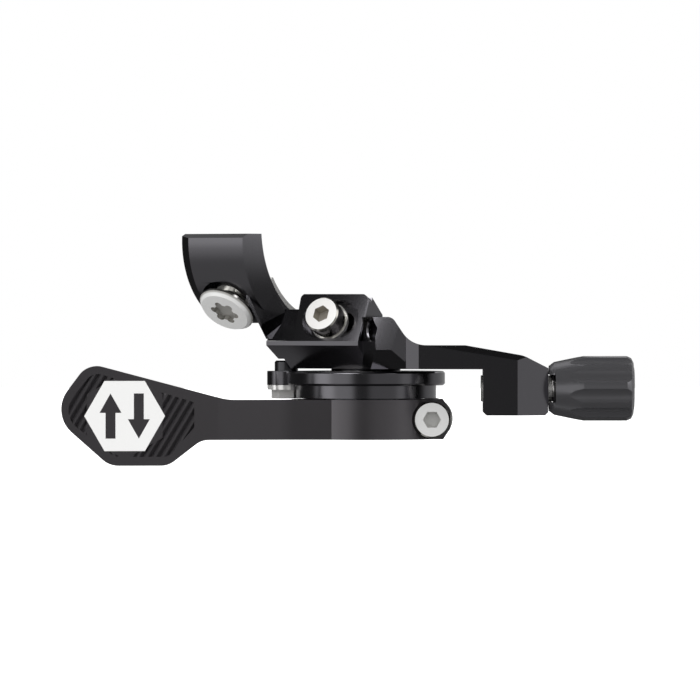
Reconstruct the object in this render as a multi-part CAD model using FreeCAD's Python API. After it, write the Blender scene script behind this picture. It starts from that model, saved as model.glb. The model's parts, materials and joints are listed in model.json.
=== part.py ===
import FreeCAD
import Part
import math
import os

from FreeCAD import Vector

# Thumb remote for a dropper post, in millimetres, +Z up, +X towards the cable housing and
# -Y towards the rider. Everything is laid out from the lever's pivot line, at the level of
# the lever's lower face, and moved at the end so that the origin is the seat of the saddle.

# Levels above the lever's lower face
lever_height = 7.6
lever_gap = 0.2
wheel_height = 2.5
flange_height = 2.7
perch_gap = 0.5
perch_foot_height = 5.3
ear_height = 9.0
block_height = 9.9
arm_height = 4.5
cable_level = 9.8
boss_bottom = 4.7

# Cable hub
flange_radius = 15.2
wheel_radius = 13.5
hub_boss_radius = 10.0
hub_boss_lift = 0.3
hub_bore_radius = 8.2
hub_shoulder_radius = 7.6
hub_edge = 0.35
pinch_x = -15.3
pinch_y = 2.5
pinch_ear_radius = 3.7
pinch_pocket_radius = 4.2

# Bearing, 12 x 18 x 4
bearing_bore = 6.0
bearing_outside = 9.0
bearing_width = 4.0
race_wall = 0.95
ball_radius = 0.78
ball_count = 20
ball_clearance = 0.04
seal_thickness = 0.3
seal_inset = 0.15
seal_clearance = 0.05

# Pivot axle, a shoulder screw put in from below
axle_head_radius = 6.8
axle_head_height = 2.6
axle_socket = 5.0
axle_socket_depth = 2.2
axle_thread_radius = 3.0
axle_thread_length = 4.5
axle_thread_end_gap = 0.1
axle_pinch = 0.1
perch_collar_radius = 6.65

# Cable pinch screw, M2.5
pinch_head_radius = 2.25
pinch_head_height = 2.0
pinch_shank_radius = 1.25
pinch_hole_clearance = 0.1
pinch_socket = 2.0
pinch_socket_depth = 1.2
pinch_washer_radius = 3.6
pinch_washer_height = 0.9
pinch_nut_flats = 5.0
pinch_nut_height = 1.7

# Lever
ring_radius = 14.3
clamp_clearance = 0.05
clamp_slot = 1.4
clamp_ear_reach = 16.2
clamp_ear_depth = 6.6
clamp_ear_corner = 1.4
clamp_ear_rise = 2.1
clamp_screw_x = 12.68
clamp_screw_z = 3.8
clamp_yaw = 0.5
clamp_ear_start = 4.0
blade_front = 12.7
blade_end = 6.0
blade_bend_x = 15.2
blade_bend_round = 20.0
blade_back_x = 13.0
blade_back_y = 2.0
blade_thickness = 5.0
paddle_start_x = 28.0
paddle_step = 2.0
paddle_yaw = 6.0
paddle_thickness = 3.2
paddle_tip_x = 60.0
paddle_tip_z = 5.1
paddle_tip_round = 5.9
paddle_top_x = 52.85
paddle_top_z = 14.65
paddle_low_left_x = 48.8
paddle_low_right_x = 37.6
paddle_low_z = 4.88
paddle_low_left_round = 4.6
paddle_round = 4.0
paddle_corner_turn = 60.0
paddle_neck_top_x = 26.45
paddle_neck_top_round = 12.0
paddle_neck_low_x = 31.3
paddle_rim = 1.7
field_right = 32.7
field_right_top = 7.2
field_right_low = 2.4
rib_pitch = 1.38
rib_width = 1.16
rib_angle = 59.0
rib_depth = 0.45
rib_lip = 0.05
rib_count = 19
rib_length = 40.0
emblem_x = -45.9
emblem_z = 4.6
emblem_radius = 8.3

# Lever pinch screw, M4, with a flanged barrel nut
lever_head_radius = 3.5
lever_head_height = 4.0
lever_shank_radius = 2.0
lever_hole_clearance = 0.1
lever_socket = 3.0
lever_socket_depth = 2.3
lever_nut_radius = 4.05
lever_nut_height = 1.6
lever_barrel_radius = 2.6
lever_barrel_length = 4.4
lever_seat_clearance = 0.3
lever_bolt_short = 0.6

# Perch front, leaning back and turned to the left
face_yaw = 25.5
face_lean = 22.3
face_offset = 11.0
face_left = 21.2
face_right = 1.7
face_strip = 0.85
face_undercut = 2.2
block_end_reach = 0.5
block_end_back = 3.3
block_left_inset = 6.7
left_slope = 48.0
notch_top = 15.5
notch_high_x = 15.8
notch_low_x = 13.7
ear_left = 15.65
ear_left_corner = 1.0
ear_right_corner = 2.0
ear_edge = 0.25
ear_lean = 0.7
ear_back_slope = 35.0
cheek_front = 5.0
cheek_back = 9.8
ear_thickness = 4.2
slot_half_height = 3.93
slot_travel = 3.87
slot_shift = 0.16
slot_rise = 5.45
slot_floor = 2.0
slot_guide_radius = 2.25
bolt_shift = -0.76
perch_back = 14.8
relief_clearance = 0.35
lever_swing = 32.0

# Right-hand block, arm and cable boss
hollow_x = -0.5
hollow_y = 9.8
block_front_left_x = 1.9
block_front_left_y = 15.6
block_front_right_x = 4.75
block_front_right_y = 16.3
block_facet_x = 7.4
block_facet_y = 15.6
block_front_lean = 10.0
block_under_lean = 30.0
block_under_level = 17.2
block_inset = 1.5
block_front_inset = 4.0
block_round = 1.5
block_back_x = 7.5
block_back_y = 4.5
block_right = 5.0
block_slope = 56.0
strip_x = 7.6
strip_turn = 20.0
arm_start = 10.0
arm_front = 16.7
arm_turn = 4.0
arm_thickness = 9.5
arm_back_round = 8.0
arm_top_round = 5.4
boss_left = 22.3
boss_ridge = 28.8
boss_right = 34.7
boss_turn = 27.0
boss_half_depth = 5.4
cable_y = -12.0
arm_knee = 19.0
arm_fall = 10.0
boss_fall = 27.0
boss_knee = 30.1
boss_corner = 0.6
boss_back_round = 6.0
boss_knee_round = 4.0
arm_bevel_start = 11.8
arm_bevel_drop = 2.8
arm_bevel_lean = 41.4
stop_screw_x = 0.95
stop_screw_z = 20.8
stop_screw_radius = 2.0
stop_mouth_radius = 2.3
stop_screw_length = 4.5
stop_screw_sink = 1.6
stop_socket = 2.0
stop_socket_depth = 1.5

# Bracket bolt, M4
bolt_head_radius = 3.5
bolt_head_height = 4.0
bolt_shank_radius = 2.0
bolt_socket = 3.0
bolt_socket_depth = 2.4
bolt_washer_radius = 3.75
bolt_washer_height = 0.8
bolt_end_clearance = 0.15

# Mount bracket: saddle plate, neck and foot
plate_turn = 37.0
plate_middle_x = -19.7
plate_middle_y = 14.0
plate_middle_z = 38.1
plate_radius = 16.8
plate_width = 15.4
plate_top = 39.4
plate_bottom = 22.2
seat_radius = 19.0
seat_back = 8.1
seat_up = 2.85
screw_angle = 228.0
plate_end_bevel = 2.2
plate_top_bevel = 1.8
plate_bevel_depth = 0.8
neck_left = 23.0
neck_right = 15.6
neck_back = 9.4
neck_top = 27.6
neck_lift = 0.35
neck_end_flat = (Vector(-17.8, 3.73, 27.66), Vector(0.59, -0.76, 0.26))
neck_upper_flat = (Vector(-15.7, 4.2, 24.3), Vector(0.69, -0.72, 0))
neck_lower_flat = (Vector(-16.86, 3.09, 21.5), Vector(0.77, -0.43, -0.44))
neck_right_edge = (Vector(-17.07, 0, 27.37), Vector(0.87, 0, 0.49))
neck_left_edge = (Vector(-20.6, 0, 22.1), Vector(-0.9, 0, -0.44))
neck_under_edge = (Vector(-16.74, 0, 20.25), Vector(0.68, 0, -0.73))
foot_left_low = 23.5
foot_left_high = 20.4
foot_right = 3.2
foot_height = 6.05
foot_thickness = 4.2
foot_side_gap = 0.1

# Clamp screw and curved nut plate
clamp_head_radius = 5.6
clamp_head_height = 1.25
clamp_head_stand = 1.9
clamp_head_edge = 0.8
clamp_recess_radius = 2.9
clamp_recess_depth = 1.1
clamp_recess_core = 2.1
clamp_lobe_radius = 0.75
clamp_recess_lobes = 6
clamp_thread_radius = 2.9
clamp_thread_length = 8.5
clamp_pocket_radius = 5.7
clamp_pocket_floor = 13.6
barrel_radius = 3.6
barrel_top = 14.9
barrel_clearance = 0.1
nut_plate_thickness = 1.3
nut_plate_half_width = 7.2
nut_plate_low = 76.0
nut_plate_high = 34.0

# Barrel adjuster
stem_radius = 2.5
stem_clearance = 0.05
stem_stand = 0.4
stem_core_radius = 4.0
stem_core_length = 6.2
stem_end_stand = 0.15
cable_hole_radius = 0.9
liner_radius = 3.0
liner_clearance = 0.05
housing_radius = 2.6
housing_depth = 6.6
liner_floor = 0.7
liner_hole_radius = 1.1
knob_radius = 6.22
knob_gap = 0.15
knob_length = 16.15
knob_nose_radius = 4.3
knob_shoulder = 6.6
knob_corner = 1.3
flute_count = 10
flute_depth = 0.55
flute_round = 2.35
flute_turn = 5.7
knob_nose_step = 1.0
knob_nose_rise = 0.75
spring_pocket_radius = 3.5
notch_width = 5.3
notch_depth = 1.25
spring_wire = 0.35
spring_clearance = 0.15
spring_turns = 6

reach = 200.0
near_reach = 50.0
full_turn = 360.0
hexagon_sides = 6
tolerance = 0.01
through = 1.0
head_chamfer = 0.28
up = Vector(0, 0, 1)
right = Vector(1, 0, 0)
forward = Vector(0, -1, 0)
back = Vector(0, 1, 0)

# Worked-out places
knob_start = boss_right + knob_gap
knob_end = knob_start + knob_length
stem_core_start = knob_start + stem_core_length
stem_end = knob_end + stem_end_stand
wheel_bottom = lever_height + lever_gap
wheel_top = wheel_bottom + wheel_height
flange_top = wheel_top + flange_height
bearing_bottom = flange_top - bearing_width
perch_bottom = flange_top + perch_gap
ledge_level = perch_bottom + perch_foot_height
face_level = ledge_level - face_strip
ear_top = ledge_level + ear_height
block_top = perch_bottom + block_height
arm_top = perch_bottom + arm_height

# Directions of the perch's leaning face
yaw = math.radians(face_yaw)
lean = math.radians(face_lean)
along_face = Vector(math.cos(yaw), -math.sin(yaw), 0)
into_face = Vector(math.sin(yaw), math.cos(yaw), 0)
face_in = into_face * math.cos(lean) - up * math.sin(lean)
face_up = into_face * math.sin(lean) + up * math.cos(lean)
face_origin = forward * face_offset + up * face_level

# Directions of the saddle
turn = math.radians(plate_turn)
bar_along = Vector(math.cos(turn), -math.sin(turn), 0)
bar_across = Vector(math.sin(turn), math.cos(turn), 0)
plate_centre = Vector(plate_middle_x, plate_middle_y, plate_middle_z)
seat_centre = plate_centre + bar_across * seat_back + up * seat_up
screw_out = bar_across * math.cos(math.radians(screw_angle)) + up * math.sin(math.radians(screw_angle))


def disc(radius, height, base, direction=up):
    return Part.makeCylinder(radius, height, base, direction)


def tube(outer, inner, height, base, direction=up):
    solid = disc(outer, height, base, direction)
    return solid.cut(disc(inner, height, base, direction))


def prism(points, direction):
    wire = Part.makePolygon(points + [points[0]])
    return Part.Face(wire).extrude(direction)


def hexagon(flats, height, base, direction, side=None):
    # A six-sided prism whose corner points along side.
    turned = FreeCAD.Rotation(up, direction)
    first = turned.multVec(right) if side is None else side
    first = (first - direction * first.dot(direction)).normalize()
    second = direction.cross(first)
    corner = flats / math.sqrt(3)
    points = []
    for index in range(hexagon_sides):
        angle = math.radians(full_turn / hexagon_sides * index)
        points.append(base + first * corner * math.cos(angle) + second * corner * math.sin(angle))
    return prism(points, direction * height)


def trim(shape, point, normal):
    # Takes away everything beyond a plane, on the side that its normal points to.
    block = Part.makeBox(reach, reach, reach, Vector(-reach / 2, -reach / 2, 0))
    block.Placement = FreeCAD.Placement(point, FreeCAD.Rotation(up, normal))
    return shape.cut(block)


def outline(corners, place):
    # A flat face from corners of (x, y, radius), with an arc at each corner that has one.
    edges = []
    ends = []
    for index, (x, y, radius) in enumerate(corners):
        here = Vector(x, y, 0)
        before = Vector(*corners[index - 1][:2], 0)
        after = Vector(*corners[(index + 1) % len(corners)][:2], 0)
        to_before = (before - here).normalize()
        to_after = (after - here).normalize()
        half = to_before.getAngle(to_after) / 2
        if radius == 0:
            ends.append((here, here))
            continue
        start = here + to_before * radius / math.tan(half)
        finish = here + to_after * radius / math.tan(half)
        inward = (to_before + to_after).normalize()
        middle = here + inward * (radius / math.sin(half) - radius)
        edges.append(Part.Arc(place(start), place(middle), place(finish)).toShape())
        ends.append((start, finish))
    for index in range(len(corners)):
        start = ends[index - 1][1]
        finish = ends[index][0]
        if (finish - start).Length > tolerance:
            edges.append(Part.LineSegment(place(start), place(finish)).toShape())
    return Part.Face(Part.Wire(Part.__sortEdges__(edges)))


def front_outline(corners, front_y, depth):
    # Corners given as seen by the rider, (x, z, radius), pushed back along +Y.
    def place(point):
        return Vector(point.x, front_y, point.y)
    return outline(corners, place).extrude(back * depth)


def plan_outline(corners, low, height):
    # Corners given as seen from above, (x, y, radius), raised along +Z.
    def place(point):
        return Vector(point.x, point.y, low)
    return outline(corners, place).extrude(up * height)


def on_face(along, above, inward=0):
    # A point given in the perch's leaning face: along it, up it and into it.
    return face_origin + along_face * along + face_up * above + face_in * inward


def beside_face(along, inward, level):
    # A point given level with the face's foot line: along it, back from it and at a height.
    return forward * face_offset + along_face * along + into_face * inward + up * level


def socket_screw(head_radius, head_height, shank_radius, length, flats, depth, seat, direction, side=None):
    # seat is the centre of the head's underside, and direction points from it to the head.
    head = disc(head_radius, head_height, seat, direction)
    top = seat + direction * head_height
    far = [edge for edge in head.Edges if edge.Closed and (edge.CenterOfMass - top).Length < tolerance]
    head = head.makeChamfer(head_chamfer, far)
    shank = disc(shank_radius, length, seat, -direction)
    socket = hexagon(flats, depth, top - direction * depth, direction, side)
    return head.fuse(shank).cut(socket)


# Saddle bracket

def collar_space():
    # The clamp collar that the saddle sits on.
    start = seat_centre - bar_along * (plate_width / 2 + through)
    return disc(seat_radius, plate_width + through, start, bar_along)


def saddle_plate():
    half = plate_width / 2
    start = plate_centre - bar_along * half
    plate = disc(plate_radius, plate_width, start, bar_along)
    plate = plate.cut(collar_space())
    plate = trim(plate, Vector(0, 0, plate_top), up)
    plate = trim(plate, Vector(0, 0, plate_bottom), -up)
    top_bevel = (up * plate_top_bevel - bar_across * plate_bevel_depth).normalize()
    corner = plate_centre - bar_across * (plate_radius - plate_top_bevel)
    plate = trim(plate, Vector(corner.x, corner.y, plate_top), top_bevel)
    end_cone = Part.makeCone(
        plate_radius - plate_bevel_depth, plate_radius, plate_end_bevel, start, bar_along)
    end_ring = disc(plate_radius + through, plate_end_bevel, start, bar_along).cut(end_cone)
    return plate.cut(end_ring)


def neck():
    # Seen by the rider, it runs down from the plate's right end to the foot's left end.
    low = ledge_level + neck_lift
    block = Part.makeBox(neck_left - neck_right, neck_back, neck_top - low, Vector(-neck_left, 0, low))
    flats = [
        neck_end_flat, neck_upper_flat, neck_lower_flat,
        neck_right_edge, neck_left_edge, neck_under_edge]
    for point, normal in flats:
        block = trim(block, point, normal)
    return block


def seat_reach(angle):
    # How far the saddle's seat lies from the plate's centre in one direction.
    across = math.cos(angle)
    rise = math.sin(angle)
    middle = seat_back * across + seat_up * rise
    square = seat_back ** 2 + seat_up ** 2 - seat_radius ** 2
    return middle + math.sqrt(middle ** 2 - square)


def foot_slab_point(along, level, inward):
    back_at_level = (level - face_level) * math.tan(lean)
    return beside_face(along, back_at_level + inward / math.cos(lean), level)


def foot_depth():
    # The foot's thickness, measured straight back.
    return back * foot_thickness / (math.cos(lean) * math.cos(yaw))


def foot():
    high = ledge_level + foot_height
    front = [
        foot_slab_point(-foot_left_low, ledge_level, ear_thickness),
        foot_slab_point(-foot_right, ledge_level, ear_thickness),
        foot_slab_point(-foot_right, high, ear_thickness),
        foot_slab_point(-foot_left_high, high, ear_thickness)]
    return prism(front, foot_depth())


def slot_middle():
    return -(ear_left + face_right) / 2 + slot_shift


def bolt_axis_point(inward):
    return on_face(slot_middle() + bolt_shift, slot_rise, inward)


def mount_bracket():
    bracket = saddle_plate().fuse([neck(), foot()])
    pocket = disc(clamp_pocket_radius, reach, plate_centre + screw_out * clamp_pocket_floor, screw_out)
    hole = disc(barrel_radius + barrel_clearance, plate_radius, plate_centre, screw_out)
    thread = disc(bolt_shank_radius, ear_thickness + foot_thickness + through, bolt_axis_point(0), face_in)
    return bracket.cut([collar_space(), pocket, hole, thread])


def six_lobe(base, direction, depth):
    turned = FreeCAD.Rotation(up, direction)
    core = disc(clamp_recess_core, depth, base, direction)
    orbit = clamp_recess_radius - clamp_lobe_radius
    lobes = []
    for index in range(clamp_recess_lobes):
        angle = math.radians(full_turn / clamp_recess_lobes * index)
        side = turned.multVec(Vector(math.cos(angle), math.sin(angle), 0))
        lobes.append(disc(clamp_lobe_radius, depth, base + side * orbit, direction))
    return core.fuse(lobes)


def clamp_screw():
    top = plate_radius + clamp_head_stand
    under = plate_centre + screw_out * (top - clamp_head_height)
    head = disc(clamp_head_radius, clamp_head_height, under, screw_out)
    rim = [edge for edge in head.Edges if edge.Closed and (edge.CenterOfMass - under).Length > tolerance]
    head = head.makeChamfer(clamp_head_edge, rim)
    thread = disc(clamp_thread_radius, clamp_thread_length, under, -screw_out)
    floor = under + screw_out * (clamp_head_height - clamp_recess_depth)
    recess = six_lobe(floor, screw_out, clamp_recess_depth)
    return head.fuse(thread).cut(recess)


def clamp_nut_plate():
    inner = seat_radius - nut_plate_thickness
    start = seat_centre - bar_along * nut_plate_half_width
    width = 2 * nut_plate_half_width
    shell = tube(seat_radius, inner, width, start, bar_along)
    for angle, side in ((full_turn / 2 + nut_plate_high, 1), (full_turn / 2 + nut_plate_low, -1)):
        bearing = math.radians(angle)
        normal = (bar_across * math.sin(bearing) - up * math.cos(bearing)) * side
        shell = trim(shell, seat_centre, normal)
    barrel_base = seat_reach(math.radians(screw_angle)) - nut_plate_thickness / 2
    barrel = disc(barrel_radius, barrel_top - barrel_base, plate_centre + screw_out * barrel_base, screw_out)
    bore = disc(clamp_thread_radius, plate_radius, plate_centre, screw_out)
    return shell.fuse(barrel).cut(bore)


# Perch

def relief():
    # Room under the perch for the cable pinch screw's head over the hub's whole swing.
    orbit = math.hypot(pinch_x, pinch_y)
    angle = math.degrees(math.atan2(pinch_y, pinch_x))
    room = pinch_head_radius + relief_clearance
    spread = math.degrees(room / orbit)
    height = pinch_head_height - perch_gap + relief_clearance
    ring = tube(orbit + room, orbit - room, height + through, Vector(0, 0, perch_bottom - through))
    ring = trim(ring, Vector(0, 0, 0), turned_side(angle + spread, 1))
    return trim(ring, Vector(0, 0, 0), turned_side(angle - spread - lever_swing, -1))


def turned_side(angle, side):
    bearing = math.radians(angle)
    return Vector(-math.sin(bearing), math.cos(bearing), 0) * side


def perch_block():
    # The block over the pivot, with the leaning face, its ledge and the undercut below it.
    points = [
        beside_face(-face_left, 0, perch_bottom),
        beside_face(-face_right, 0, perch_bottom),
        beside_face(block_end_reach, block_end_back, perch_bottom),
        beside_face(block_end_reach, perch_back, perch_bottom),
        beside_face(-face_left + block_left_inset, perch_back, perch_bottom)]
    block = prism(points, up * (ledge_level - perch_bottom))
    drop = face_level - perch_bottom
    under = (-into_face * drop - up * face_undercut).normalize()
    block = trim(block, face_origin, under)
    slope = math.radians(left_slope)
    block = trim(block, beside_face(-face_left, 0, face_level), Vector(-math.sin(slope), 0, -math.cos(slope)))
    notch = front_outline([
        (-near_reach, perch_bottom - through, 0),
        (-notch_low_x, perch_bottom - through, 0),
        (-notch_high_x, notch_top, 0),
        (-near_reach, notch_top, 0)], -near_reach, near_reach)
    return block.cut(notch)


def perch_ear():
    tall = (ear_top - ledge_level) / math.cos(lean) + through
    corners = [
        (-ear_left, 0, 0),
        (-face_right + ear_lean, 0, 0),
        (-face_right + ear_lean, tall, ear_right_corner),
        (-ear_left, tall, ear_left_corner)]
    # The right side leans out by ear_lean from the ledge to the ear's top.
    side = along_face - face_up * (ear_lean / tall)

    def place(point):
        return on_face(point.x, point.y)
    ear = outline(corners, place).extrude(face_in * ear_thickness)
    ear = trim(ear, on_face(-face_right - ear_edge, 0), (side - face_in).normalize())
    # A side wall behind the ear's right end, and one slope over both down to the block's top
    cheek_left = -foot_right + foot_side_gap
    section = [
        beside_face(cheek_left, cheek_front, ear_top),
        beside_face(cheek_left, cheek_back, ear_top),
        beside_face(cheek_left, cheek_back, block_top - through),
        beside_face(cheek_left, cheek_front, block_top - through)]
    cheek = prism(section, along_face * (ear_lean - face_right - cheek_left))
    head = trim(ear.fuse(cheek), on_face(-face_right, 0), side.normalize())
    slope = math.radians(ear_back_slope)
    front_edge = beside_face(0, (ear_top - face_level) * math.tan(lean), ear_top)
    return trim(head, front_edge, up * math.cos(slope) + into_face * math.sin(slope))


def ear_slot():
    middle = slot_middle()

    def slot(radius, front, deep):
        ends = []
        for side in (-1, 1):
            end = on_face(middle + side * slot_travel / 2, slot_rise, front)
            ends.append(disc(radius, deep, end, face_in))
        corners = []
        for side, rise in ((-1, -1), (1, -1), (1, 1), (-1, 1)):
            corners.append(on_face(middle + side * slot_travel / 2, slot_rise + rise * radius, front))
        return ends[0].fuse([ends[1], prism(corners, face_in * deep)])
    pocket = slot(slot_half_height, -through, slot_floor + through)
    guide = slot(slot_guide_radius, 0, ear_thickness + through)
    return pocket.fuse(guide)


def right_profile():
    # The block, the arm and the cable boss as the rider sees them.
    slope = math.tan(math.radians(block_slope))
    foot_x = block_right + (block_top - arm_top) / slope
    fall = math.tan(math.radians(arm_fall))
    drop = math.tan(math.radians(boss_fall))
    knee_z = arm_top - (boss_knee - arm_knee) * fall
    end_z = knee_z - (boss_right - boss_knee) * drop
    start = -face_right - block_inset
    return [
        (start, perch_bottom, 0),
        (boss_left, perch_bottom, 0),
        (boss_left, boss_bottom + boss_corner, 0),
        (boss_left + boss_corner, boss_bottom, 0),
        (boss_right - boss_corner, boss_bottom, 0),
        (boss_right, boss_bottom + boss_corner, 0),
        (boss_right, end_z, 0),
        (boss_knee, knee_z, boss_knee_round),
        (arm_knee, arm_top, 0),
        (foot_x, arm_top, arm_top_round),
        (block_right, block_top, block_round),
        (start, block_top, 0)]


def arm_front_y(x):
    return -arm_front - (x - arm_start) * math.tan(math.radians(arm_turn))


def right_plan():
    # The same piece from above: hollow, block front, bright flat, arm and the boss's ridge.
    ridge_y = arm_front_y(boss_ridge)
    end_y = ridge_y + (boss_right - boss_ridge) * math.tan(math.radians(boss_turn))
    back_y = cable_y + boss_half_depth
    strip_y = -arm_front + (arm_start - strip_x) * math.tan(math.radians(strip_turn))
    left_front = beside_face(-foot_right + foot_side_gap, block_front_inset, 0)
    left_back = beside_face(-foot_right + foot_side_gap, perch_back - block_inset, 0)
    return [
        (left_front.x, left_front.y, 0),
        (hollow_x, -hollow_y, 0),
        (block_front_left_x, -block_front_left_y, 0),
        (block_front_right_x, -block_front_right_y, 0),
        (block_facet_x, -block_facet_y, 0),
        (strip_x, strip_y, 0),
        (arm_start, -arm_front, 0),
        (boss_ridge, ridge_y, 0),
        (boss_right, end_y, 0),
        (boss_right, back_y, block_round),
        (boss_left - through, back_y, boss_back_round),
        (arm_start, arm_front_y(arm_start) + arm_thickness + through, arm_back_round),
        (block_back_x, block_back_y, block_round),
        (left_back.x, left_back.y, 0)]


def right_body():
    height = block_top - boss_bottom + 2 * through
    plan = plan_outline(right_plan(), boss_bottom - through, height)
    profile = front_outline(right_profile(), -reach / 2, reach)
    body = profile.common(plan)
    # Sloping flat along the arm's upper front edge
    start = Vector(arm_bevel_start, arm_front_y(arm_bevel_start), arm_top)
    end = Vector(boss_ridge, arm_front_y(boss_ridge), arm_top - arm_bevel_drop)
    along = (end - start).normalize()
    slope = math.radians(arm_bevel_lean)
    outward = Vector(0, -math.sin(slope), math.cos(slope))
    normal = (outward - along * outward.dot(along)).normalize()
    body = trim_between(body, start, normal, arm_bevel_start, reach)
    # The block's front leans back above one level and is undercut below it
    front_left = Vector(block_front_left_x, -block_front_left_y, block_under_level)
    front_right = Vector(block_front_right_x, -block_front_right_y, block_under_level)
    facing = (front_right - front_left).cross(up).normalize()
    for tilt in (block_front_lean, -block_under_lean):
        lift = math.radians(tilt)
        body = trim_between(body, front_left, facing * math.cos(lift) + up * math.sin(lift), -reach, strip_x)
    return body


def trim_between(shape, point, normal, low, high):
    # As trim, but only between two places along X.
    block = Part.makeBox(reach, reach, reach, Vector(-reach / 2, -reach / 2, 0))
    block.Placement = FreeCAD.Placement(point, FreeCAD.Rotation(up, normal))
    side = Part.makeBox(high - low, reach, reach, Vector(low, -reach / 2, -reach / 2))
    return shape.cut(block.common(side))


def hollow_run():
    return Vector(block_front_left_x - hollow_x, hollow_y - block_front_left_y, 0)


def stop_direction():
    # Square to the hollow's face, out of the block.
    return hollow_run().cross(up).normalize()


def stop_screw_mouth():
    run = hollow_run()
    y = -hollow_y + run.y * (stop_screw_x - hollow_x) / run.x
    return Vector(stop_screw_x, y, stop_screw_z)


def perch_body():
    body = perch_block().fuse([perch_ear(), right_body()])
    collar = disc(perch_collar_radius, perch_gap + through, Vector(0, 0, flange_top))
    body = body.fuse(collar)
    thread_depth = axle_thread_length + axle_thread_end_gap
    flare = stop_mouth_radius - stop_screw_radius
    cuts = [
        ear_slot(),
        relief(),
        disc(axle_thread_radius, thread_depth, Vector(0, 0, flange_top)),
        disc(bolt_shank_radius + bolt_end_clearance, foot_thickness + through,
             bolt_axis_point(ear_thickness), face_in),
        disc(stem_radius + stem_clearance, boss_right - boss_left + 2 * through,
             Vector(boss_left - through, cable_y, cable_level), right),
        disc(stop_screw_radius, stop_screw_length + near_reach,
             stop_screw_mouth() - stop_direction() * stop_screw_length, stop_direction()),
        Part.makeCone(stop_screw_radius, stop_mouth_radius + through, flare + through,
                      stop_screw_mouth() - stop_direction() * flare, stop_direction())]
    return body.cut(cuts).removeSplitter()


def stop_set_screw():
    inner = stop_screw_mouth() - stop_direction() * stop_screw_length
    length = stop_screw_length - stop_screw_sink
    screw = disc(stop_screw_radius, length, inner, stop_direction())
    socket_base = inner + stop_direction() * (length - stop_socket_depth)
    socket = hexagon(stop_socket, stop_socket_depth, socket_base, stop_direction())
    return screw.cut(socket)


def bracket_bolt():
    seat = bolt_axis_point(slot_floor - bolt_washer_height)
    length = ear_thickness - slot_floor + bolt_washer_height + foot_thickness
    return socket_screw(bolt_head_radius, bolt_head_height, bolt_shank_radius, length, bolt_socket,
                        bolt_socket_depth, seat, -face_in)


def bracket_bolt_washer():
    base = bolt_axis_point(slot_floor)
    return tube(bolt_washer_radius, bolt_shank_radius, bolt_washer_height, base, -face_in)


# Pivot and bearing

def pivot_axle():
    head_bottom = bearing_bottom - axle_head_height
    head = disc(axle_head_radius, axle_head_height, Vector(0, 0, head_bottom))
    shoulder = disc(bearing_bore, bearing_width - axle_pinch, Vector(0, 0, bearing_bottom))
    thread = disc(axle_thread_radius, axle_thread_length + axle_pinch, Vector(0, 0, flange_top - axle_pinch))
    socket = hexagon(axle_socket, axle_socket_depth, Vector(0, 0, head_bottom), up)
    return head.fuse([shoulder, thread]).cut(socket)


def ball_pitch():
    return (bearing_bore + bearing_outside) / 2


def ball_groove():
    middle = Vector(0, 0, bearing_bottom + bearing_width / 2)
    return Part.makeTorus(ball_pitch(), ball_radius + ball_clearance, middle, up)


def bearing_inner_race():
    race = tube(bearing_bore + race_wall, bearing_bore, bearing_width, Vector(0, 0, bearing_bottom))
    return race.cut(ball_groove())


def bearing_outer_race():
    race = tube(bearing_outside, bearing_outside - race_wall, bearing_width, Vector(0, 0, bearing_bottom))
    return race.cut(ball_groove())


def bearing_balls():
    balls = []
    for index in range(ball_count):
        angle = 2 * math.pi * index / ball_count
        level = bearing_bottom + bearing_width / 2
        centre = Vector(ball_pitch() * math.cos(angle), ball_pitch() * math.sin(angle), level)
        balls.append(Part.makeSphere(ball_radius, centre))
    return Part.makeCompound(balls)


def bearing_seal(level):
    inner = bearing_bore + race_wall + seal_clearance
    return tube(bearing_outside - race_wall, inner, seal_thickness, Vector(0, 0, level))


def bearing_seal_upper():
    return bearing_seal(flange_top - seal_inset - seal_thickness)


def bearing_seal_lower():
    return bearing_seal(bearing_bottom + seal_inset)


# Cable hub and its pinch screw

def cable_hub():
    flange = disc(flange_radius, flange_height, Vector(0, 0, wheel_top))
    ear = disc(pinch_ear_radius, flange_height, Vector(pinch_x, pinch_y, wheel_top))
    rim = flange.fuse(ear)
    wheel = disc(wheel_radius, wheel_height, Vector(0, 0, wheel_bottom))
    pocket = disc(pinch_pocket_radius, wheel_height, Vector(pinch_x, pinch_y, wheel_bottom))
    boss = disc(hub_boss_radius, wheel_bottom - hub_boss_lift, Vector(0, 0, hub_boss_lift))
    hub = rim.fuse([wheel.cut(pocket), boss])
    cuts = [
        disc(bearing_outside, bearing_width + through, Vector(0, 0, bearing_bottom)),
        disc(hub_shoulder_radius, reach, Vector(0, 0, -through)),
        disc(hub_bore_radius, wheel_bottom, Vector(0, 0, 0)),
        disc(pinch_shank_radius + pinch_hole_clearance, reach, Vector(pinch_x, pinch_y, 0))]
    hub = hub.cut(cuts).removeSplitter()
    edges = []
    for edge in hub.Edges:
        box = edge.BoundBox
        flat = box.ZLength < tolerance
        level = min(abs(box.ZMin - flange_top), abs(box.ZMin - wheel_top)) < tolerance
        if flat and level and max(box.XLength, box.YLength) > 2 * wheel_radius + through:
            edges.append(edge)
    return hub.makeChamfer(hub_edge, edges)


def cable_pinch_bolt():
    seat = Vector(pinch_x, pinch_y, flange_top)
    length = flange_height + pinch_washer_height + pinch_nut_height
    return socket_screw(pinch_head_radius, pinch_head_height, pinch_shank_radius, length, pinch_socket,
                        pinch_socket_depth, seat, up)


def cable_pinch_washer():
    base = Vector(pinch_x, pinch_y, wheel_top - pinch_washer_height)
    return tube(pinch_washer_radius, pinch_shank_radius, pinch_washer_height, base)


def cable_pinch_nut():
    base = Vector(pinch_x, pinch_y, wheel_top - pinch_washer_height - pinch_nut_height)
    nut = hexagon(pinch_nut_flats, pinch_nut_height, base, up)
    return nut.cut(disc(pinch_shank_radius, pinch_nut_height, base))


# Lever

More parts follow.
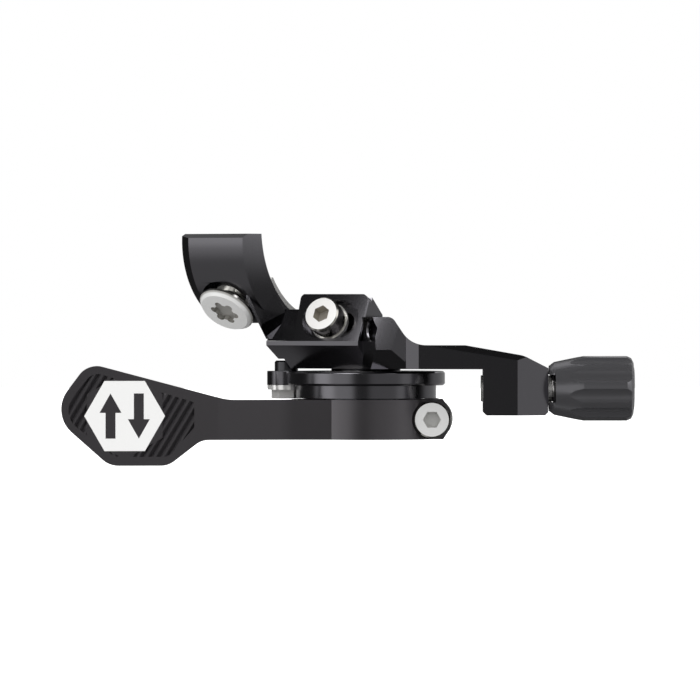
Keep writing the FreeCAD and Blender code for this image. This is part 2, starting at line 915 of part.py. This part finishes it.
def paddle_field_corners():
    # The ribbed field: the paddle's outline moved in by the rim's width.
    side = paddle_rim * math.tan(math.radians(paddle_corner_turn / 2))
    return [
        (-paddle_tip_x + paddle_rim, paddle_tip_z, paddle_tip_round - paddle_rim),
        (-paddle_top_x + side, paddle_top_z - paddle_rim, paddle_round - paddle_rim),
        (-field_right, field_right_top, 0),
        (-field_right, field_right_low, 0),
        (-paddle_low_right_x, paddle_rim - paddle_low_z, paddle_round - paddle_rim),
        (-paddle_low_left_x + side, paddle_rim - paddle_low_z, paddle_low_left_round - paddle_rim)]


def lever_front_corners():
    return [
        (-paddle_tip_x, paddle_tip_z, paddle_tip_round),
        (-paddle_top_x, paddle_top_z, paddle_round),
        (-paddle_neck_top_x, lever_height, paddle_neck_top_round),
        (-blade_end, lever_height, 0),
        (-blade_end, 0, 0),
        (-paddle_neck_low_x, 0, paddle_round),
        (-paddle_low_right_x, -paddle_low_z, paddle_round),
        (-paddle_low_left_x, -paddle_low_z, paddle_low_left_round)]


def paddle_front_y(x):
    return -blade_front - paddle_step + (paddle_start_x + x) * math.tan(math.radians(paddle_yaw))


def lever_plan():
    # The blade and the paddle's thickness as seen from above.
    tip = -paddle_tip_x - paddle_rim
    inner = -paddle_start_x - paddle_rim
    return [
        (-blade_end, -blade_front, 0),
        (-blade_bend_x, -blade_front, blade_bend_round),
        (-paddle_start_x, paddle_front_y(-paddle_start_x), blade_bend_round),
        (tip, paddle_front_y(tip), 0),
        (tip, paddle_front_y(tip) + paddle_thickness, 0),
        (inner, paddle_front_y(inner) + paddle_thickness, blade_bend_round / 2),
        (-blade_bend_x, blade_thickness - blade_front, blade_bend_round / 2),
        (-blade_back_x, -blade_back_y, 0),
        (-blade_end, -blade_back_y, 0)]


def paddle_frame():
    # Axes of the paddle's front face: to the right, and straight into it.
    angle = math.radians(paddle_yaw)
    return Vector(math.cos(angle), math.sin(angle), 0), Vector(-math.sin(angle), math.cos(angle), 0)


def paddle_ribs():
    side, inward = paddle_frame()
    front = paddle_front_y(-paddle_tip_x) - through
    field = front_outline(paddle_field_corners(), front, near_reach)
    corner_up = Vector(math.sqrt(3) / 2, 0, 1 / 2)
    middle = Vector(emblem_x, front, emblem_z)
    plateau = hexagon(emblem_radius * math.sqrt(3), near_reach, middle, back, corner_up)
    field = field.cut(plateau)
    angle = math.radians(rib_angle)
    run = side * math.cos(angle) + up * math.sin(angle)
    step = side * math.sin(angle) - up * math.cos(angle)
    centre = Vector(emblem_x, paddle_front_y(emblem_x), emblem_z)
    grooves = []
    for index in range(rib_count):
        middle = centre + step * rib_pitch * (index - rib_count // 2) - run * rib_length / 2
        points = [
            middle - step * rib_width / 2 - inward * rib_lip,
            middle + step * rib_width / 2 - inward * rib_lip,
            middle + inward * rib_depth]
        grooves.append(prism(points, run * rib_length))
    cutter = grooves[0].fuse(grooves[1:])
    return cutter.common(field)


def clamp_direction():
    angle = math.radians(clamp_yaw)
    return Vector(math.sin(angle), math.cos(angle), 0)


def clamp_axis_point(depth):
    return Vector(clamp_screw_x, 0, clamp_screw_z) + clamp_direction() * depth


def lever():
    ring = disc(ring_radius, lever_height, Vector(0, 0, 0))
    ears = front_outline([
        (clamp_ear_start, 0, 0),
        (clamp_ear_reach - clamp_ear_corner, 0, 0),
        (clamp_ear_reach, clamp_ear_rise, 0),
        (clamp_ear_reach, lever_height - clamp_ear_rise, 0),
        (clamp_ear_reach - clamp_ear_corner, lever_height, 0),
        (clamp_ear_start, lever_height, 0)], -clamp_ear_depth, 2 * clamp_ear_depth)
    blade = front_outline(lever_front_corners(), -near_reach, reach / 2)
    blade = blade.common(plan_outline(lever_plan(), -near_reach, reach / 2))
    body = ring.fuse([ears, blade])
    clamp_out = -clamp_direction()
    cuts = [
        disc(hub_boss_radius + clamp_clearance, reach, Vector(0, 0, -through)),
        Part.makeBox(reach, clamp_slot, reach, Vector(0, -clamp_slot / 2, -through)),
        disc(lever_shank_radius + lever_hole_clearance, reach,
             clamp_axis_point(-reach / 2), clamp_direction()),
        disc(lever_barrel_radius, clamp_ear_depth, clamp_axis_point(clamp_ear_depth - lever_barrel_length),
             clamp_direction()),
        disc(lever_head_radius + lever_seat_clearance, reach, clamp_axis_point(-clamp_ear_depth), clamp_out),
        disc(lever_nut_radius + lever_seat_clearance, reach,
             clamp_axis_point(clamp_ear_depth), clamp_direction()),
        paddle_ribs()]
    return body.cut(cuts).removeSplitter()


def lever_pinch_bolt():
    seat = clamp_axis_point(-clamp_ear_depth)
    length = 2 * clamp_ear_depth - lever_bolt_short
    return socket_screw(lever_head_radius, lever_head_height, lever_shank_radius, length, lever_socket,
                        lever_socket_depth, seat, -clamp_direction(), right)


def lever_pinch_nut():
    seat = clamp_axis_point(clamp_ear_depth)
    flange = disc(lever_nut_radius, lever_nut_height, seat, clamp_direction())
    barrel = disc(lever_barrel_radius, lever_barrel_length, seat, -clamp_direction())
    bore = disc(lever_shank_radius, lever_barrel_length + lever_nut_height,
                clamp_axis_point(clamp_ear_depth - lever_barrel_length), clamp_direction())
    return flange.fuse(barrel).cut(bore)


# Barrel adjuster

def cable_point(x):
    return Vector(x, cable_y, cable_level)


def adjuster_stem():
    stem_start = boss_left - stem_stand
    thread = disc(stem_radius, stem_core_start - stem_start, cable_point(stem_start), right)
    core = disc(stem_core_radius, stem_end - stem_core_start, cable_point(stem_core_start), right)
    liner_start = stem_end - housing_depth - liner_floor
    cuts = [
        disc(cable_hole_radius, reach, cable_point(stem_start - through), right),
        disc(liner_radius + liner_clearance, reach, cable_point(liner_start), right)]
    return thread.fuse(core).cut(cuts)


def adjuster_liner():
    start = stem_end - housing_depth - liner_floor
    length = housing_depth + liner_floor - liner_clearance
    body = disc(liner_radius, length, cable_point(start + liner_clearance), right)
    cuts = [
        disc(housing_radius, reach, cable_point(start + liner_floor), right),
        disc(liner_hole_radius, reach, cable_point(start), right)]
    return body.cut(cuts)


def knob_profile():
    # Half section of the knob, as (along, radius).
    shoulder = knob_start + knob_shoulder
    return [
        (knob_start, spring_pocket_radius),
        (knob_start, knob_nose_radius),
        (knob_start + knob_nose_step, knob_nose_radius + knob_nose_rise),
        (shoulder, knob_radius),
        (knob_end - knob_corner, knob_radius),
        (knob_end - knob_corner / 3, knob_radius - knob_corner / 3),
        (knob_end, knob_radius - knob_corner),
        (knob_end, stem_core_radius),
        (stem_core_start, stem_core_radius),
        (stem_core_start, spring_pocket_radius)]


def adjuster_knob():
    points = [Vector(x, cable_y, cable_level + radius) for x, radius in knob_profile()]
    face = Part.Face(Part.makePolygon(points + points[:1]))
    knob = face.revolve(cable_point(0), right, full_turn)
    cuts = []
    for index in range(flute_count):
        angle = 2 * math.pi * (index + 1 / 2) / flute_count + math.radians(flute_turn)
        away = knob_radius - flute_depth + flute_round
        side = Vector(0, -math.cos(angle), math.sin(angle)) * away
        cuts.append(disc(flute_round, knob_end - knob_start, cable_point(knob_start) + side, right))
    notch = Part.makeBox(notch_depth + through, reach, notch_width,
                         Vector(knob_start - through, cable_y - reach / 2, cable_level - notch_width / 2))
    cuts.append(notch)
    return knob.cut(cuts)


def adjuster_spring():
    radius = spring_pocket_radius - spring_wire - spring_clearance
    start = boss_right + spring_wire
    length = stem_core_start - boss_right - 2 * spring_wire
    pitch = length / spring_turns
    helix = Part.makeHelix(pitch, length, radius)
    section = Part.Wire(Part.makeCircle(spring_wire, Vector(radius, 0, 0), back))
    coil = helix.makePipeShell([section], True, True)
    coil.Placement = FreeCAD.Placement(cable_point(start), FreeCAD.Rotation(up, right))
    return coil


pieces = {
    "mount_bracket": mount_bracket,
    "clamp_screw": clamp_screw,
    "clamp_nut_plate": clamp_nut_plate,
    "perch_body": perch_body,
    "stop_set_screw": stop_set_screw,
    "bracket_bolt": bracket_bolt,
    "bracket_bolt_washer": bracket_bolt_washer,
    "pivot_axle": pivot_axle,
    "bearing_inner_race": bearing_inner_race,
    "bearing_outer_race": bearing_outer_race,
    "bearing_balls": bearing_balls,
    "bearing_seal_upper": bearing_seal_upper,
    "bearing_seal_lower": bearing_seal_lower,
    "cable_hub": cable_hub,
    "cable_pinch_bolt": cable_pinch_bolt,
    "cable_pinch_washer": cable_pinch_washer,
    "cable_pinch_nut": cable_pinch_nut,
    "lever": lever,
    "lever_pinch_bolt": lever_pinch_bolt,
    "lever_pinch_nut": lever_pinch_nut,
    "adjuster_stem": adjuster_stem,
    "adjuster_liner": adjuster_liner,
    "adjuster_knob": adjuster_knob,
    "adjuster_spring": adjuster_spring,
}

# The origin goes to the saddle's seat, on the clamp screw's line.
seat_point = plate_centre + screw_out * seat_reach(math.radians(screw_angle))

os.makedirs("parts", exist_ok=True)
for name, make in pieces.items():
    shape = make()
    shape.translate(-seat_point)
    shape.exportStep("parts/" + name + ".step")
    box = shape.BoundBox
    print(name, len(shape.Solids), round(shape.Volume, 2), shape.isValid(),
          [round(v, 2) for v in (box.XMin, box.YMin, box.ZMin, box.XMax, box.YMax, box.ZMax)])
print("seat", [round(v, 3) for v in seat_point])
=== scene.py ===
import json
import math

import bpy
from mathutils import Matrix, Vector


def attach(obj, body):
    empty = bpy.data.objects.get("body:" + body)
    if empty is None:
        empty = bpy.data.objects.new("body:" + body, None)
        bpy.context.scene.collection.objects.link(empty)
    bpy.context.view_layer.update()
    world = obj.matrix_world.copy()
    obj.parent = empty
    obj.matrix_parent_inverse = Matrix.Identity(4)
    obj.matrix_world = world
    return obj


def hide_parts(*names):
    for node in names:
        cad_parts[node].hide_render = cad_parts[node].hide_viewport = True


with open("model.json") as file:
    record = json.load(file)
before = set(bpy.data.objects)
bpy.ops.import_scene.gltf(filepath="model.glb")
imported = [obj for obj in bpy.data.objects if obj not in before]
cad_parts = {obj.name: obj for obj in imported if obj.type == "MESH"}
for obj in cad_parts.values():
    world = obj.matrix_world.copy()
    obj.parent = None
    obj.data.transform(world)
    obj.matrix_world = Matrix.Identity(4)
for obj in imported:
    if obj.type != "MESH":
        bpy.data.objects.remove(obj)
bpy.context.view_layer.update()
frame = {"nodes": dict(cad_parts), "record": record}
nodes = frame["nodes"]


# The remote is laid out here as in the part: millimetres from the pivot line, at the level
# of the lever's lower face. The frame's origin is the saddle's seat.
seatPoint = Vector((-24.134, 8.115, 29.917))


def spot(x, y, z):
    return (Vector((x, y, z)) - seatPoint) / 1000


def bodyOf(nodeName):
    for body, members in frame["record"]["behaviour"]["bodies"].items():
        if nodeName in members:
            return body
    return None


def deselectAll():
    bpy.ops.object.select_all(action="DESELECT")


def makeActive(piece):
    deselectAll()
    piece.select_set(True)
    bpy.context.view_layer.objects.active = piece


def mathNode(tree, operation, first, second=None):
    node = tree.nodes.new("ShaderNodeMath")
    node.operation = operation
    for socket, value in zip(node.inputs, (first, second)):
        if value is None:
            continue
        if isinstance(value, (int, float)):
            socket.default_value = value
        else:
            tree.links.new(value, socket)
    return node.outputs[0]


def rampUp(tree, value, low, high):
    node = tree.nodes.new("ShaderNodeMapRange")
    node.interpolation_type = "SMOOTHSTEP"
    tree.links.new(value, node.inputs["Value"])
    node.inputs["From Min"].default_value = low
    node.inputs["From Max"].default_value = high
    return node.outputs["Result"]


# Finishes: colours are linear, and grain is the strength of a fine blasted texture.

finishes = {
    "blackAnodised": dict(colour=(0.135, 0.132, 0.142), metallic=1.0, roughness=0.2, grain=0.012),
    "leverAnodised": dict(colour=(0.135, 0.128, 0.136), metallic=0.9, roughness=0.34, grain=0.02),
    "brightSteel": dict(colour=(0.88, 0.87, 0.85), metallic=0.75, roughness=0.2, grain=0.0),
    "blackSteel": dict(colour=(0.09, 0.09, 0.095), metallic=1.0, roughness=0.3, grain=0.01),
    "sealRubber": dict(colour=(0.03, 0.03, 0.032), metallic=0.0, roughness=0.6, grain=0.0),
    "linerPlastic": dict(colour=(0.5, 0.5, 0.48), metallic=0.0, roughness=0.5, grain=0.0),
    "knobRubber": dict(colour=(0.19, 0.188, 0.2), metallic=0.72, roughness=0.25, grain=0.02),
    "pinchSteel": dict(colour=(0.98, 0.97, 0.95), metallic=0.55, roughness=0.14, grain=0.0),
    "springSteel": dict(colour=(0.5, 0.49, 0.48), metallic=1.0, roughness=0.14, grain=0.0),
    "whiteMark": dict(colour=(0.97, 0.97, 0.96), metallic=0.0, roughness=0.45, grain=0.0),
}

# Screws have a satin end face and bright turned sides; facing is the way the screw points.
# The floor colour is painted shade: it darkens the recess in each head.
screwFinishes = {
    "clampScrewSteel": dict(node="clamp_screw", facing=(-0.403, -0.534, -0.743), face=(0.95, 0.95, 0.94),
                            side=(0.72, 0.71, 0.68), floor=(0.42, 0.41, 0.39), edge=0.5),
    "bracketBoltSteel": dict(node="bracket_bolt", facing=(-0.398, -0.835, 0.379), face=(0.82, 0.81, 0.79),
                             side=(0.6, 0.58, 0.54), floor=(0.36, 0.33, 0.28), edge=0.8),
    "leverBoltSteel": dict(node="lever_pinch_bolt", facing=(-0.009, -1.0, 0.0), face=(0.83, 0.83, 0.82),
                           side=(0.72, 0.71, 0.68), floor=(0.8, 0.8, 0.78), edge=0.8),
}
# The recess depths are in millimetres below the end face; between them the painted recess shade gives way to
# the face colour.
screwLook = dict(faceMetallic=0.12, faceRoughness=0.42, sideMetallic=1.0, sideRoughness=0.16,
                 edgeWidth=0.12, recessShadeFrom=0.7, recessShadeTo=0.4)


grainTexture = dict(scale=9000, detail=2, bumpPerGrain=4, depth=0.00002)


def makeScrewFinish(name, node, facing, face, side, floor, edge):
    material = bpy.data.materials.new(name)
    material.use_nodes = True
    tree = material.node_tree
    shader = tree.nodes["Principled BSDF"]
    coords = tree.nodes.new("ShaderNodeTexCoord")
    along = tree.nodes.new("ShaderNodeVectorMath")
    along.operation = "DOT_PRODUCT"
    along.inputs[1].default_value = facing
    tree.links.new(coords.outputs["Normal"], along.inputs[0])
    size = mathNode(tree, "ABSOLUTE", along.outputs["Value"])
    onFace = rampUp(tree, size, edge, edge + screwLook["edgeWidth"])
    # Painted shade: the floor of the recess, below the head's end face, takes the darker floor colour.
    depth = tree.nodes.new("ShaderNodeVectorMath")
    depth.operation = "DOT_PRODUCT"
    depth.inputs[1].default_value = facing
    tree.links.new(coords.outputs["Object"], depth.inputs[0])
    top = max(Vector(facing).dot(vertex.co) for vertex in nodes[node].data.vertices)
    outOfPaintedShade = rampUp(tree, depth.outputs["Value"], top - screwLook["recessShadeFrom"] / 1000,
                     top - screwLook["recessShadeTo"] / 1000)
    faceColour = tree.nodes.new("ShaderNodeMix")
    faceColour.data_type = "RGBA"
    faceColour.inputs["A"].default_value = (*floor, 1)
    faceColour.inputs["B"].default_value = (*face, 1)
    tree.links.new(outOfPaintedShade, faceColour.inputs["Factor"])
    colour = tree.nodes.new("ShaderNodeMix")
    colour.data_type = "RGBA"
    colour.inputs["A"].default_value = (*side, 1)
    tree.links.new(faceColour.outputs["Result"], colour.inputs["B"])
    tree.links.new(onFace, colour.inputs["Factor"])
    tree.links.new(colour.outputs["Result"], shader.inputs["Base Color"])
    for socket, sideValue, faceValue in (
            ("Metallic", screwLook["sideMetallic"], screwLook["faceMetallic"]),
            ("Roughness", screwLook["sideRoughness"], screwLook["faceRoughness"])):
        change = mathNode(tree, "MULTIPLY", onFace, faceValue - sideValue)
        tree.links.new(mathNode(tree, "ADD", change, sideValue), shader.inputs[socket])
    return material


def makeFinish(name, colour, metallic, roughness, grain):
    material = bpy.data.materials.new(name)
    material.use_nodes = True
    tree = material.node_tree
    shader = tree.nodes["Principled BSDF"]
    shader.inputs["Base Color"].default_value = (*colour, 1)
    shader.inputs["Metallic"].default_value = metallic
    shader.inputs["Roughness"].default_value = roughness
    if grain > 0:
        coords = tree.nodes.new("ShaderNodeTexCoord")
        speckle = tree.nodes.new("ShaderNodeTexNoise")
        speckle.inputs["Scale"].default_value = grainTexture["scale"]
        speckle.inputs["Detail"].default_value = grainTexture["detail"]
        bump = tree.nodes.new("ShaderNodeBump")
        bump.inputs["Strength"].default_value = grain * grainTexture["bumpPerGrain"]
        bump.inputs["Distance"].default_value = grainTexture["depth"]
        tree.links.new(coords.outputs["Object"], speckle.inputs["Vector"])
        tree.links.new(speckle.outputs["Fac"], bump.inputs["Height"])
        tree.links.new(bump.outputs["Normal"], shader.inputs["Normal"])
    return material


materials = {name: makeFinish(name, **values) for name, values in finishes.items()}
for name, values in screwFinishes.items():
    materials[name] = makeScrewFinish(name, **values)

print("finishes made:", len(materials))


# Camera, floor and light

# The photograph is 700 pixels wide, at 5.25 pixels to a millimetre.
view = dict(target=(-3.05, -14.0, 17.14), distance=1500.0, elevation=0.4, azimuth=0.0,
            width=700 / 5.25, sensor=36, nearest=0.01, farthest=60)


def addCamera():
    elevation = math.radians(view["elevation"])
    azimuth = math.radians(view["azimuth"])
    towards = Vector((math.sin(azimuth) * math.cos(elevation), -math.cos(azimuth) * math.cos(elevation),
                      math.sin(elevation)))
    lens = bpy.data.cameras.new("photoCamera")
    lens.sensor_width = view["sensor"]
    lens.lens = view["sensor"] * view["distance"] / view["width"]
    lens.clip_start = view["nearest"]
    lens.clip_end = view["farthest"]
    camera = bpy.data.objects.new("photoCamera", lens)
    camera.location = spot(*view["target"]) + towards * view["distance"] / 1000
    camera.rotation_euler = (-towards).to_track_quat("-Z", "Y").to_euler()
    bpy.context.scene.collection.objects.link(camera)
    bpy.context.scene.camera = camera


studio = dict(floorLevel=-0.115, floorSize=16.0, floorColour=(0.9, 0.9, 0.9), floorGlow=0.6,
              floorRoughness=0.9)

# Soft boxes round the remote: azimuth from the camera's side (+ to the right), elevation,
# softness of the edge and brightness.
softBoxes = [
    dict(azimuth=(-78, -20), elevation=(-16, 16), soft=6, light=0.8),
    dict(azimuth=(-92, -54), elevation=(-5, 26), soft=5, light=0.75),
    dict(azimuth=(-104, -56), elevation=(-76, -12), soft=9, light=0.3),
    dict(azimuth=(6, 54), elevation=(-22, 14), soft=5, light=0.3),
    dict(azimuth=(53, 80), elevation=(-22, 20), soft=4, light=0.56),
    dict(azimuth=(34, 60), elevation=(14, 48), soft=6, light=1.3),
    dict(azimuth=(110, 176), elevation=(-30, 42), soft=9, light=0.36),
    dict(azimuth=(-15, 9), elevation=(-12, 12), soft=5, light=0.06),
    dict(azimuth=(-170, -124), elevation=(36, 82), soft=9, light=0.7),
]
darkness = 0.05

# An even tent of light that only matt surfaces see, from its level below to the one above.
tent = dict(below=0.62, above=1.35, blend=0.8)

# Two small cards close by: one lights the right half of the leaning ear, one the saddle's end.
cards = {
    "earCard": dict(middle=(-4.0, -9.0, 22.0), azimuth=-59.3, elevation=39.3, distance=30.0,
                    width=22.0, height=26.0, shift=12.5, fade=6.0, light=6.5, across=True),
    "saddleCard": dict(middle=(-17.0, 12.0, 34.0), azimuth=106.0, elevation=0.0, distance=70.0,
                       width=46.0, height=22.0, shift=5.0, fade=16.0, light=1.15, across=False),
}


def addCard(name, middle, azimuth, elevation, distance, width, height, shift, fade, light, across):
    # The card faces the remote and gets brighter along its width, or upward along its height.
    turn = math.radians(azimuth)
    lift = math.radians(elevation)
    towards = Vector((math.sin(turn) * math.cos(lift), -math.cos(turn) * math.cos(lift), math.sin(lift)))
    sideways = Vector((0, 0, 1)).cross(towards).normalized()
    upward = towards.cross(sideways)
    centre = spot(*middle) + towards * distance / 1000
    axis = sideways if across else upward
    start = -(width if across else height) / 2
    centre += axis * shift / 1000
    deselectAll()
    bpy.ops.mesh.primitive_plane_add(size=1)
    card = bpy.context.object
    card.name = name
    frameOfCard = Matrix((sideways * width / 1000, upward * height / 1000, towards)).transposed().to_4x4()
    card.data.transform(Matrix.Translation(centre) @ frameOfCard)
    material = bpy.data.materials.new(name)
    material.use_nodes = True
    tree = material.node_tree
    tree.nodes.clear()
    coords = tree.nodes.new("ShaderNodeTexCoord")
    along = tree.nodes.new("ShaderNodeVectorMath")
    along.operation = "DOT_PRODUCT"
    along.inputs[1].default_value = axis
    tree.links.new(coords.outputs["Object"], along.inputs[0])
    low = centre.dot(axis) + start / 1000
    glow = mathNode(tree, "MULTIPLY", rampUp(tree, along.outputs["Value"], low, low + fade / 1000), light)
    emission = tree.nodes.new("ShaderNodeEmission")
    tree.links.new(glow, emission.inputs["Strength"])
    output = tree.nodes.new("ShaderNodeOutputMaterial")
    tree.links.new(emission.outputs[0], output.inputs["Surface"])
    card.data.materials.append(material)
    card.visible_camera = False
    card.visible_diffuse = False
    card.visible_shadow = False


def bandOf(tree, angle, limits, soft):
    # 1 between two angles and 0 outside them, with soft ends.
    low, high = limits
    rise = rampUp(tree, angle, low - soft, low + soft)
    fall = mathNode(tree, "SUBTRACT", 1.0, rampUp(tree, angle, high - soft, high + soft))
    return mathNode(tree, "MULTIPLY", rise, fall)


def addWorld():
    world = bpy.data.worlds.new("lightTent")
    bpy.context.scene.world = world
    world.use_nodes = True
    tree = world.node_tree
    coords = tree.nodes.new("ShaderNodeTexCoord")
    split = tree.nodes.new("ShaderNodeSeparateXYZ")
    tree.links.new(coords.outputs["Generated"], split.inputs[0])
    x, y, z = split.outputs
    turned = mathNode(tree, "ARCTAN2", x, mathNode(tree, "MULTIPLY", y, -1.0))
    azimuth = mathNode(tree, "MULTIPLY", turned, 180 / math.pi)
    elevation = mathNode(tree, "MULTIPLY", mathNode(tree, "ARCSINE", z), 180 / math.pi)
    total = darkness
    for box in softBoxes:
        across = bandOf(tree, azimuth, box["azimuth"], box["soft"])
        upward = bandOf(tree, elevation, box["elevation"], box["soft"])
        inBox = mathNode(tree, "MULTIPLY", across, upward)
        total = mathNode(tree, "ADD", total, mathNode(tree, "MULTIPLY", inBox, box["light"]))
    boxLight = tree.nodes["Background"]
    tree.links.new(total, boxLight.inputs["Color"])
    tentLight = tree.nodes.new("ShaderNodeBackground")
    rise = rampUp(tree, z, -tent["blend"], tent["blend"])
    spread = mathNode(tree, "MULTIPLY", rise, tent["above"] - tent["below"])
    tree.links.new(mathNode(tree, "ADD", spread, tent["below"]), tentLight.inputs["Color"])
    backdrop = tree.nodes.new("ShaderNodeBackground")
    backdrop.inputs["Color"].default_value = (1, 1, 1, 1)
    path = tree.nodes.new("ShaderNodeLightPath")
    bySoftRay = tree.nodes.new("ShaderNodeMixShader")
    tree.links.new(path.outputs["Is Diffuse Ray"], bySoftRay.inputs[0])
    tree.links.new(boxLight.outputs[0], bySoftRay.inputs[1])
    tree.links.new(tentLight.outputs[0], bySoftRay.inputs[2])
    byCamera = tree.nodes.new("ShaderNodeMixShader")
    tree.links.new(path.outputs["Is Camera Ray"], byCamera.inputs[0])
    tree.links.new(bySoftRay.outputs[0], byCamera.inputs[1])
    tree.links.new(backdrop.outputs[0], byCamera.inputs[2])
    tree.links.new(byCamera.outputs[0], tree.nodes["World Output"].inputs["Surface"])


def addFloor():
    deselectAll()
    bpy.ops.mesh.primitive_plane_add(size=studio["floorSize"], location=(0, 0, studio["floorLevel"]))
    floor = bpy.context.object
    floor.name = "studioFloor"
    bpy.ops.object.transform_apply(location=True, rotation=True, scale=True)
    material = bpy.data.materials.new("paleFloor")
    material.use_nodes = True
    shader = material.node_tree.nodes["Principled BSDF"]
    shader.inputs["Base Color"].default_value = (*studio["floorColour"], 1)
    shader.inputs["Roughness"].default_value = studio["floorRoughness"]
    shader.inputs["Emission Color"].default_value = (1, 1, 1, 1)
    shader.inputs["Emission Strength"].default_value = studio["floorGlow"]
    floor.data.materials.append(material)
    floor.visible_glossy = False
    floor.visible_diffuse = False


addCamera()
addWorld()
addFloor()
for name, values in cards.items():
    addCard(name, **values)
bpy.context.scene.view_settings.view_transform = "Standard"
print("camera, floor and light ready")


# Machined pieces with broken edges

softened = {
    "perch_body": dict(name="perchShell", width=0.16, finish="blackAnodised"),
    "mount_bracket": dict(name="saddleShell", width=0.3, finish="blackAnodised"),
    "cable_hub": dict(name="hubShell", width=0.1, finish="blackAnodised"),
    "lever": dict(name="leverShell", width=0.16, finish="leverAnodised"),
    "adjuster_knob": dict(name="knobShell", width=0.12, finish="knobRubber"),
}

# How the copies are made: angles in degrees, merge in metres.
edgeWork = dict(merge=0.000002, flatWithin=0.6, bevelFrom=12, segments=2, smoothUnder=32, flatWeight=90)


def softenEdges(nodeName, name, width, finish):
    source = nodes[nodeName]
    piece = bpy.data.objects.new(name, source.data.copy())
    bpy.context.scene.collection.objects.link(piece)
    piece.data.materials.clear()
    piece.data.materials.append(materials[finish])
    makeActive(piece)
    if piece.data.has_custom_normals:
        bpy.ops.mesh.customdata_custom_splitnormals_clear()
    bpy.ops.object.mode_set(mode="EDIT")
    bpy.ops.mesh.select_all(action="SELECT")
    bpy.ops.mesh.remove_doubles(threshold=edgeWork["merge"])
    bpy.ops.mesh.dissolve_limited(angle_limit=math.radians(edgeWork["flatWithin"]))
    bpy.ops.object.mode_set(mode="OBJECT")
    bevel = piece.modifiers.new("brokenEdge", "BEVEL")
    bevel.width = width / 1000
    bevel.segments = edgeWork["segments"]
    bevel.limit_method = "ANGLE"
    bevel.angle_limit = math.radians(edgeWork["bevelFrom"])
    bevel.use_clamp_overlap = True
    bpy.ops.object.modifier_apply(modifier=bevel.name)
    bpy.ops.object.shade_smooth_by_angle(angle=math.radians(edgeWork["smoothUnder"]))
    weighted = piece.modifiers.new("flatFaces", "WEIGHTED_NORMAL")
    weighted.weight = edgeWork["flatWeight"]
    weighted.keep_sharp = True
    bpy.ops.object.modifier_apply(modifier=weighted.name)
    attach(piece, bodyOf(nodeName))
    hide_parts(nodeName)
    return piece


for nodeName, values in softened.items():
    shell = softenEdges(nodeName, **values)
    print(nodeName, "->", shell.name, len(shell.data.polygons), "faces")


# The other nodes keep their shape and get their finish

nodeFinish = {
    "clamp_screw": "clampScrewSteel", "clamp_nut_plate": "brightSteel", "stop_set_screw": "blackSteel",
    "bracket_bolt": "bracketBoltSteel", "bracket_bolt_washer": "brightSteel", "pivot_axle": "brightSteel",
    "bearing_inner_race": "brightSteel", "bearing_outer_race": "brightSteel", "bearing_balls": "brightSteel",
    "bearing_seal_upper": "sealRubber", "bearing_seal_lower": "sealRubber",
    "cable_pinch_bolt": "blackSteel", "cable_pinch_washer": "pinchSteel", "cable_pinch_nut": "pinchSteel",
    "lever_pinch_bolt": "leverBoltSteel", "lever_pinch_nut": "brightSteel", "adjuster_stem": "brightSteel",
    "adjuster_liner": "linerPlastic", "adjuster_spring": "springSteel",
}

for nodeName, finish in nodeFinish.items():
    for slot in nodes[nodeName].material_slots:
        slot.material = materials[finish]
print("finishes given to the nodes")


# Printed mark on the paddle: a badge with one arrow up and one down

mark = dict(x=-45.9, z=4.6, yaw=6.0, sides=6, radius=7.7, thickness=0.03, inFront=-60,
            arrowSpread=2.7, arrowHead=2.1, arrowTip=4.3, arrowNeck=0.6, arrowStem=0.95, arrowTail=-4.3)


def arrowOutline(middle, sense):
    head = mark["arrowHead"]
    stem = mark["arrowStem"]
    corners = [
        (middle - head, mark["arrowNeck"]), (middle, mark["arrowTip"]), (middle + head, mark["arrowNeck"]),
        (middle + stem, mark["arrowNeck"]), (middle + stem, mark["arrowTail"]),
        (middle - stem, mark["arrowTail"]), (middle - stem, mark["arrowNeck"])]
    return [(x, y * sense) for x, y in corners]


def plateauPoint(piece):
    # Where a line from in front of the paddle meets it.
    start = spot(mark["x"], mark["inFront"], mark["z"])
    hit = piece.ray_cast(start, Vector((0, 1, 0)))
    return hit[1]


def addPaddleMark():
    hexagon = []
    for index in range(mark["sides"]):
        angle = 2 * math.pi * index / mark["sides"]
        hexagon.append((mark["radius"] * math.cos(angle), mark["radius"] * math.sin(angle)))
    curve = bpy.data.curves.new("paddleMark", "CURVE")
    curve.dimensions = "2D"
    curve.fill_mode = "BOTH"
    curve.extrude = mark["thickness"] / 1000
    for outline in (hexagon, arrowOutline(-mark["arrowSpread"], 1), arrowOutline(mark["arrowSpread"], -1)):
        spline = curve.splines.new("POLY")
        spline.points.add(len(outline) - 1)
        for point, (x, y) in zip(spline.points, outline):
            point.co = (x / 1000, y / 1000, 0, 1)
        spline.use_cyclic_u = True
    badge = bpy.data.objects.new("paddleMark", curve)
    bpy.context.scene.collection.objects.link(badge)
    makeActive(badge)
    bpy.ops.object.convert(target="MESH")
    badge = bpy.context.object
    yaw = math.radians(mark["yaw"])
    turned = Matrix((
        (math.cos(yaw), 0, math.sin(yaw)),
        (math.sin(yaw), 0, -math.cos(yaw)),
        (0, 1, 0))).to_4x4()
    badge.data.transform(Matrix.Translation(plateauPoint(bpy.data.objects["leverShell"])) @ turned)
    badge.data.materials.clear()
    badge.data.materials.append(materials["whiteMark"])
    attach(badge, bodyOf("lever"))
    return badge


addPaddleMark()
print("paddle mark printed")
